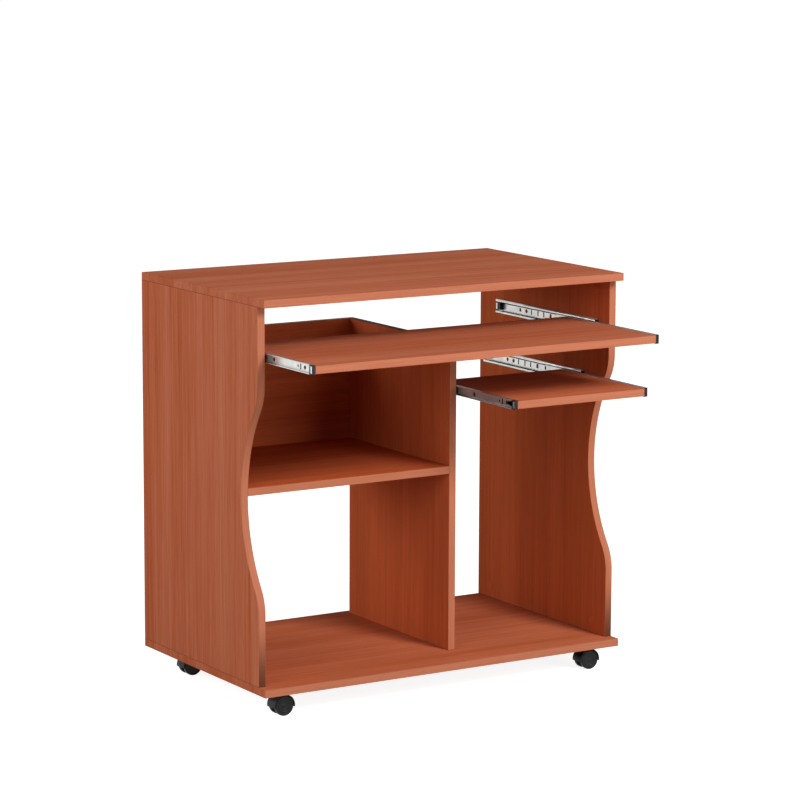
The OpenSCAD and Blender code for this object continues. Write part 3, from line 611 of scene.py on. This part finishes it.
def soften(piece, width, segments=2):
    """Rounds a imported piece's sharp corners without touching its mesh.

    Points that coincide are joined and faces in one plane made one, so that only the corners
    sharper than 40 degrees are rounded.
    """
    weld = piece.modifiers.new("weld", "WELD")
    weld.merge_threshold = 0.01 * MM
    flat = piece.modifiers.new("flat", "DECIMATE")
    flat.decimate_type = "DISSOLVE"
    flat.angle_limit = math.radians(0.5)
    bevel = piece.modifiers.new("round", "BEVEL")
    bevel.width = width
    bevel.segments = segments
    bevel.limit_method = "ANGLE"
    bevel.angle_limit = math.radians(40)
    bevel.miter_outer = "MITER_ARC"
    bevel.harden_normals = False
    return piece


def filleted(corners, radius, steps=4):
    """Profile through the corners, each cut by a parabola that starts and ends one radius away.

    A point is (1 - t)^2 of the cut's start, 2t(1 - t) of the corner and t^2 of its end. A cut
    takes at most 0.45 of a side, so that two on one side never meet.
    """
    corners = np.asarray(corners, float)
    here, before, after = corners[1:-1], corners[:-2], corners[2:]
    back = before - here
    ahead = after - here
    reach_back = np.linalg.norm(back, axis=1, keepdims=True)
    reach_ahead = np.linalg.norm(ahead, axis=1, keepdims=True)
    cut = np.minimum(radius, 0.45 * np.minimum(reach_back, reach_ahead))
    first = here + back / reach_back * cut
    last = here + ahead / reach_ahead * cut
    t = np.linspace(0, 1, steps)[None, :, None]
    arc = (1 - t) ** 2 * first[:, None] + 2 * t * (1 - t) * here[:, None] + t**2 * last[:, None]
    return np.concatenate([corners[:1], arc.reshape(-1, 2), corners[-1:]])


def spun(profile, steps):
    """Profile of (radius, height) rows turned round the Z axis: (r cos a, r sin a, h)."""
    turn = np.linspace(0, 2 * math.pi, steps, endpoint=False)
    r, h = profile[:, :1], profile[:, 1:]
    return np.stack([r * np.cos(turn), r * np.sin(turn), h + 0 * turn], -1)


def closed_rings(name, rings, values=None, attribute=None):
    """One mesh from copies of a stack of rings, an array of (copy, ring, step, 3).

    The first and last ring of a copy have no radius and become its two poles. Ring k is joined
    to ring k + 1 and the last step to the first, so that each copy is a closed skin.
    """
    copies, count, steps, _ = rings.shape
    inner = rings[:, 1:-1].reshape(copies, -1, 3)
    poles = rings[:, [0, -1], 0]
    points = np.concatenate([inner, poles], axis=1)
    per_copy = points.shape[1]
    k, j = np.meshgrid(np.arange(count - 3), np.arange(steps), indexing="ij")
    near, far = k * steps + j, k * steps + (j + 1) % steps
    quads = np.stack([near, far, far + steps, near + steps], -1).reshape(-1, 4)
    j = np.arange(steps)
    last = (count - 3) * steps
    first_fan = np.stack([(j + 1) % steps, j, 0 * j + per_copy - 2], -1)
    last_fan = np.stack([last + j, last + (j + 1) % steps, 0 * j + per_copy - 1], -1)
    corner = points[0]
    tri = np.concatenate([quads[:, [0, 1, 2]], quads[:, [0, 2, 3]], first_fan, last_fan])
    a, b, c = corner[tri[:, 0]], corner[tri[:, 1]], corner[tri[:, 2]]
    if np.einsum("ij,ij->", a, np.cross(b, c)) < 0:
        quads, first_fan, last_fan = quads[:, ::-1], first_fan[:, ::-1], last_fan[:, ::-1]
    offset = (np.arange(copies) * per_copy)[:, None, None]
    quads = (quads[None] + offset).reshape(-1, 4)
    fans = (np.concatenate([first_fan, last_fan])[None] + offset).reshape(-1, 3)
    mesh = bpy.data.meshes.new(name)
    mesh.from_pydata(points.reshape(-1, 3), [], quads.tolist() + fans.tolist())
    mesh.polygons.foreach_set("use_smooth", np.ones(len(mesh.polygons), bool))
    if attribute:
        per_ring = np.broadcast_to(values, (copies, count, steps))
        flat = np.concatenate([per_ring[:, 1:-1].reshape(copies, -1), per_ring[:, [0, -1], 0]], 1)
        layer = mesh.attributes.new(attribute, "FLOAT", "POINT")
        layer.data.foreach_set("value", flat.astype(np.float32).ravel())
    mesh.validate()
    piece = bpy.data.objects.new(name, mesh)
    bpy.context.scene.collection.objects.link(piece)
    return piece


def screw_rings(corners, spots, directions):
    """Screws with a cross recess, one at each spot, with its head's top facing a direction.

    The profile is turned round an axis. Inside the head the surface sinks by the recess depth
    times a smooth step of its distance from the two crossed arms.
    """
    s = bpy.context.scene.desk_screws
    head = np.asarray(corners, float)
    fine = np.linspace(0, 1, CROWN_ROWS)[1:, None]
    crown = head[0] + (head[1] - head[0]) * fine
    profile = np.concatenate([head[:1], crown, filleted(head[1:], 0.3 * MM, 3)[1:]])
    rings = spun(profile, s.steps)
    x, y = rings[..., 0], rings[..., 1]
    soft = 0.35 * MM  # width over which a wall of the recess slopes
    across = np.clip((s.recess_width - np.minimum(abs(x), abs(y))) / soft + 0.5, 0, 1)
    within = np.clip((s.recess_reach - np.hypot(x, y)) / (2 * soft), 0, 1)
    sunk = across * within
    sunk = sunk * sunk * (3 - 2 * sunk)
    sunk[CROWN_ROWS:] = 0
    rings[..., 2] -= sunk * s.recess_depth
    # Each recess stopped at an angle of its own
    angle = np.arange(len(spots)) * 2.4 + 0.5
    up = np.asarray(directions, float)
    side = np.stack([0 * angle, np.cos(angle), np.sin(angle)], -1)
    third = np.cross(up, side)
    basis = np.stack([side, third, up], 1)
    placed = np.einsum("rsk,ckd->crsd", rings, basis) + np.asarray(spots)[:, None, None]
    return placed, np.broadcast_to(sunk, placed.shape[:-1])


def wall_side(slide):
    """+1 where a slide's tray lies on the +X side of its wall, else -1."""
    return -1.0 if slide.endswith("right") else 1.0


class DESK_OT_boards(bpy.types.Operator):
    """Gives each board its laminate and edge bands"""

    bl_idname = "desk.boards"
    bl_label = "Dress the boards"

    def execute(self, context):
        s = context.scene.desk_boards
        for node, board in BOARDS.items():
            piece = coat(node, board_material(node, *board))
            soften(piece, s.edge_round)
        return {"FINISHED"}


class DESK_OT_fittings(bpy.types.Operator):
    """Gives the cams, dowels, screws and covers in the boards their finishes"""

    bl_idname = "desk.fittings"
    bl_label = "Dress the fittings"

    def execute(self, context):
        m, p = context.scene.desk_metals, context.scene.desk_plastics
        cast = metal_material("tumbled_die_cast_zinc", m.die_cast, m.zinc_dull,
                              m.cast_roughness, "Z")
        turned = metal_material("zinc_plated_turned_steel", m.zinc, m.zinc_dull,
                                m.turned_roughness, "Y")
        cover = plastic_material("moulded_cherry_cover", p.cover, p.cover_deep,
                                 p.cover_roughness, context.scene.desk_boards.gloss)
        coat("cam_locks", cast)
        coat("cam_bolts", turned)
        coat("confirmat_screws", turned)
        coat("wooden_dowels", wood_material())
        soften(coat("cam_covers", cover), p.cover_round)
        soften(coat("screw_caps", cover), p.cover_round)
        return {"FINISHED"}


class DESK_OT_slides(bpy.types.Operator):
    """Gives the slides' members, cages, balls and caps their finishes"""

    bl_idname = "desk.slides"
    bl_label = "Dress the slides"

    def execute(self, context):
        m, p = context.scene.desk_metals, context.scene.desk_plastics
        ball = metal_material("ground_bearing_steel", m.steel, m.zinc, m.ball_roughness, "Y")
        black = plastic_material("moulded_black_nylon", p.black, p.black_worn, p.roughness,
                                 p.gloss)
        for slide in SLIDES:
            members = {
                "outer": (-wall_side(slide), OUTER_OPENINGS, RACE_SHADOW_BANDS),
                "inner": (wall_side(slide), INNER_OPENINGS, ()),
            }
            for part, shade_layout in members.items():
                node = f"{slide}_{part}"
                sheet = metal_material("zinc_plated_" + node, m.zinc, m.zinc_dull, m.roughness,
                                       "Y", (*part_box(node), *shade_layout))
                soften(coat(node, sheet), m.edge_round)
            coat(f"{slide}_cage", black)
            coat(f"{slide}_balls", ball)
        coat("slide_rear_stops", black)
        for caps in ("keyboard_slide_caps", "shelf_slide_caps"):
            soften(coat(caps, black), p.cap_round)
        return {"FINISHED"}


class DESK_OT_screws(bpy.types.Operator):
    """Makes the slides' screws with their cross recesses"""

    bl_idname = "desk.screws"
    bl_label = "Make the slide screws"

    def execute(self, context):
        s, m = context.scene.desk_screws, context.scene.desk_metals
        black = screw_material("black_phosphated_screws", m.phosphate, m.phosphate_worn)
        brown = screw_material("bronzed_screws", m.bronze, m.bronze_worn)
        # Radius and height of a screw's corners, from the top down to the point
        point = [(s.shank, POINT - s.long), (0, -s.long)]
        flat_head = [(0, 0), (s.head - 0.2 * MM, 0), (s.head, -0.15 * MM),
                     (s.shank, -STEEL_T), *point]
        wall, facing = [], []
        for slide in SLIDES:
            low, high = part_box(f"{slide}_outer")
            out = wall_side(slide)
            x = (low if out > 0 else high)[0] + out * STEEL_T
            z = (low[2] + high[2]) / 2
            wall += [(x, low[1] + y, z) for y in WALL_SCREW_Y]
            facing += [(out, 0, 0)] * len(WALL_SCREW_Y)
        rings, sunk = screw_rings(flat_head, wall, facing)
        self.place("wall_screws", rings, sunk, black, "carcass", "slide_wall_screws")

        pan_head = [(0, s.pan), (s.head * 0.72, s.pan - 0.25 * MM), (s.head, s.pan * 0.45),
                    (s.head, 0), (s.shank, 0), *point]
        trays = {
            "keyboard_tray_screws": ("keyboard_slide", "keyboard_tray_unit"),
            "pull_out_shelf_screws": ("shelf_slide", "pull_out_shelf_unit"),
        }
        for node, (slides, body) in trays.items():
            spots, facing = [], []
            for slide in (f"{slides}_left", f"{slides}_right"):
                low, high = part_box(f"{slide}_inner")
                out = wall_side(slide)
                x = (high if out > 0 else low)[0] - out * STEEL_T
                z = (low[2] + high[2]) / 2
                spots += [(x, low[1] + y, z) for y in TRAY_SCREW_Y]
                facing += [(-out, 0, 0)] * len(TRAY_SCREW_Y)
            rings, sunk = screw_rings(pan_head, spots, facing)
            self.place(node.replace("screws", "screw_heads"), rings, sunk, brown, body, node)
        return {"FINISHED"}

    def place(self, name, rings, sunk, material, body, node):
        piece = closed_rings(name, rings, sunk, "recess")
        piece.data.materials.append(material)
        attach(piece, body)
        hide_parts(node)


class DESK_OT_casters(bpy.types.Operator):
    """Gives the casters' plates, hoods, axles and screws their finishes"""

    bl_idname = "desk.casters"
    bl_label = "Dress the casters"

    def execute(self, context):
        m, p = context.scene.desk_metals, context.scene.desk_plastics
        plate = metal_material("zinc_plated_stamped_steel", m.zinc, m.zinc_dull,
                               m.stamped_roughness, "X")
        axle = metal_material("drawn_axle_steel", m.steel, m.zinc, m.axle_roughness, "Y")
        hood = plastic_material("moulded_hood_nylon", p.black, p.black_worn, p.roughness,
                                p.gloss)
        for caster in CASTERS:
            coat(f"{caster}_caster_plate", plate)
            coat(f"{caster}_caster_axle", axle)
            soften(coat(f"{caster}_caster_hood", hood), p.hood_round, segments=3)
        coat("caster_screws", plate)
        coat("caster_king_pins", axle)
        return {"FINISHED"}


class DESK_OT_wheels(bpy.types.Operator):
    """Makes the casters' wheels with their rims, rings and hub caps"""

    bl_idname = "desk.wheels"
    bl_label = "Make the wheels"

    def execute(self, context):
        s, p = context.scene.desk_wheels, context.scene.desk_plastics
        nylon = plastic_material("moulded_wheel_nylon", p.black, p.black_worn,
                                 p.wheel_roughness, p.gloss, wear="tread")
        corners = np.array(WHEEL_PROFILE) * MM
        rings = spun(filleted(corners, s.fillet), s.steps)
        rubbed = np.clip((np.hypot(rings[..., 0], rings[..., 1]) - TREAD_START) / MM, 0, 0.8)
        for caster in CASTERS:
            for side, out in (("near", -1.0), ("far", 1.0)):
                node = f"{caster}_caster_{side}_wheel"
                low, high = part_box(node)
                outer = low[1] if out < 0 else high[1]
                middle = outer - out * corners[:, 1].max()
                x, z = (low[0] + high[0]) / 2, (low[2] + high[2]) / 2
                placed = np.stack([rings[..., 0] + x, out * rings[..., 2] + middle,
                                   rings[..., 1] + z], -1)
                piece = closed_rings(node.replace("caster_", ""), placed[None],
                                     rubbed[None], "tread")
                piece.data.materials.append(nylon)
                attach(piece, f"{caster}_caster_{side}_roller")
                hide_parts(node)
        return {"FINISHED"}


class DESK_OT_stage(bpy.types.Operator):
    """Builds the floor, the soft studio light and the camera"""

    bl_idname = "desk.stage"
    bl_label = "Build the stage"

    def execute(self, context):
        self.floor()
        self.surroundings()
        for name, (size, spot) in LAMPS.items():
            self.lamp(name, size, spot)
        self.camera()
        context.scene.view_settings.view_transform = "Standard"
        return {"FINISHED"}

    def floor(self):
        """A level floor, to which the camera adds a white that rises with the distance."""
        s = bpy.context.scene.desk_stage
        mesh = bpy.data.meshes.new("floor")
        half = FLOOR_HALF
        mesh.from_pydata([(-half, -half, 0), (half, -half, 0), (half, half, 0), (-half, half, 0)],
                         [], [(0, 1, 2, 3)])
        floor = bpy.data.objects.new("floor", mesh)
        bpy.context.scene.collection.objects.link(floor)
        material, tree, shader, place = start_material("painted_floor", Base_Color=s.floor,
                                                       Roughness=0.9, Specular_IOR_Level=0.0)
        output = next(n for n in tree.nodes if n.bl_idname == "ShaderNodeOutputMaterial")
        white = ramp(tree, vectors(tree, "LENGTH", place), *s.floor_reach, s.floor_near,
                     s.floor_far, interpolation_type="SMOOTHSTEP")
        strength = maths(tree, "MULTIPLY", self.seen(tree), white)
        glow = add(tree, "Emission", {"Color": WHITE, "Strength": strength})
        feed(tree, output, {"Surface": add(tree, "AddShader", {0: shader, 1: glow})})
        mesh.materials.append(material)

    def surroundings(self):
        """Soft light from all round, seen as plain white."""
        world = bpy.data.worlds.new("studio")
        bpy.context.scene.world = world
        world.use_nodes = True
        tree = world.node_tree
        tree.nodes.clear()
        ambient = bpy.context.scene.desk_stage.ambient
        soft = add(tree, "Background", {"Color": WHITE, "Strength": ambient})
        white = add(tree, "Background", {"Color": WHITE, "Strength": 1.0})
        pick = add(tree, "MixShader", {0: self.seen(tree), 1: soft, 2: white})
        add(tree, "OutputWorld", {"Surface": pick})

    def camera(self):
        """A long lens, turned by yaw, pitch and roll."""
        s = bpy.context.scene.desk_stage
        camera = bpy.data.objects.new("camera", bpy.data.cameras.new("camera"))
        bpy.context.scene.collection.objects.link(camera)
        camera.data.lens = s.lens
        camera.data.sensor_width = 36.0
        camera.data.clip_end = 200.0
        ahead = np.array([math.sin(s.yaw) * math.cos(s.pitch), math.cos(s.yaw) * math.cos(s.pitch),
                          -math.sin(s.pitch)])
        right = np.array([math.cos(s.yaw), -math.sin(s.yaw), 0.0])
        up = np.cross(right, ahead)
        tilted = math.cos(s.roll) * right + math.sin(s.roll) * up
        up = math.cos(s.roll) * up - math.sin(s.roll) * right
        turn = Matrix(np.stack([tilted, up, -ahead], 1).tolist()).to_4x4()
        camera.matrix_world = Matrix.Translation(s.place) @ turn
        bpy.context.scene.camera = camera

    def seen(self, tree):
        """1 for rays that show the white surroundings: to the camera, in gloss and in glass."""
        path = add(tree, "LightPath").outputs
        gloss = maths(tree, "MAXIMUM", path["Is Camera Ray"], path["Is Glossy Ray"])
        return maths(tree, "MAXIMUM", gloss, path["Is Transmission Ray"])

    def lamp(self, name, size, spot):
        """A round soft light with the power of its own property, facing the desk."""
        data = bpy.data.lights.new(name, "AREA")
        data.shape = "DISK"
        data.energy = getattr(bpy.context.scene.desk_stage, name)
        data.size = size
        lamp = bpy.data.objects.new(name, data)
        bpy.context.scene.collection.objects.link(lamp)
        lamp.location = spot
        aim = Vector(LAMP_AIM) - lamp.location
        lamp.rotation_euler = aim.to_track_quat("-Z", "Y").to_euler()


class DESK_PT_panel(bpy.types.Panel):
    """Lists the desk's steps"""

    bl_idname = "DESK_PT_panel"
    bl_label = "Computer Desk"
    bl_space_type = "VIEW_3D"
    bl_region_type = "UI"
    bl_category = "Desk"

    def draw(self, context):
        for step in STEPS:
            self.layout.operator(step.bl_idname)


GROUPS = {
    "desk_boards": DeskBoards,
    "desk_metals": DeskMetals,
    "desk_plastics": DeskPlastics,
    "desk_screws": DeskScrews,
    "desk_wheels": DeskWheels,
    "desk_stage": DeskStage,
}
STEPS = (DESK_OT_boards, DESK_OT_fittings, DESK_OT_slides, DESK_OT_screws, DESK_OT_casters,
         DESK_OT_wheels, DESK_OT_stage)


def register():
    for group in GROUPS.values():
        bpy.utils.register_class(group)
    for step in STEPS:
        bpy.utils.register_class(step)
    bpy.utils.register_class(DESK_PT_panel)
    for name, group in GROUPS.items():
        setattr(bpy.types.Scene, name, PointerProperty(type=group))


def unregister():
    for name in GROUPS:
        delattr(bpy.types.Scene, name)
    bpy.utils.unregister_class(DESK_PT_panel)
    for step in reversed(STEPS):
        bpy.utils.unregister_class(step)
    for group in reversed(GROUPS.values()):
        bpy.utils.unregister_class(group)


def main():
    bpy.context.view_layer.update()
    register()
    bpy.ops.desk.boards()
    bpy.ops.desk.fittings()
    bpy.ops.desk.slides()
    bpy.ops.desk.screws()
    bpy.ops.desk.casters()
    bpy.ops.desk.wheels()
    bpy.ops.desk.stage()


if __name__ == "__main__":
    main()
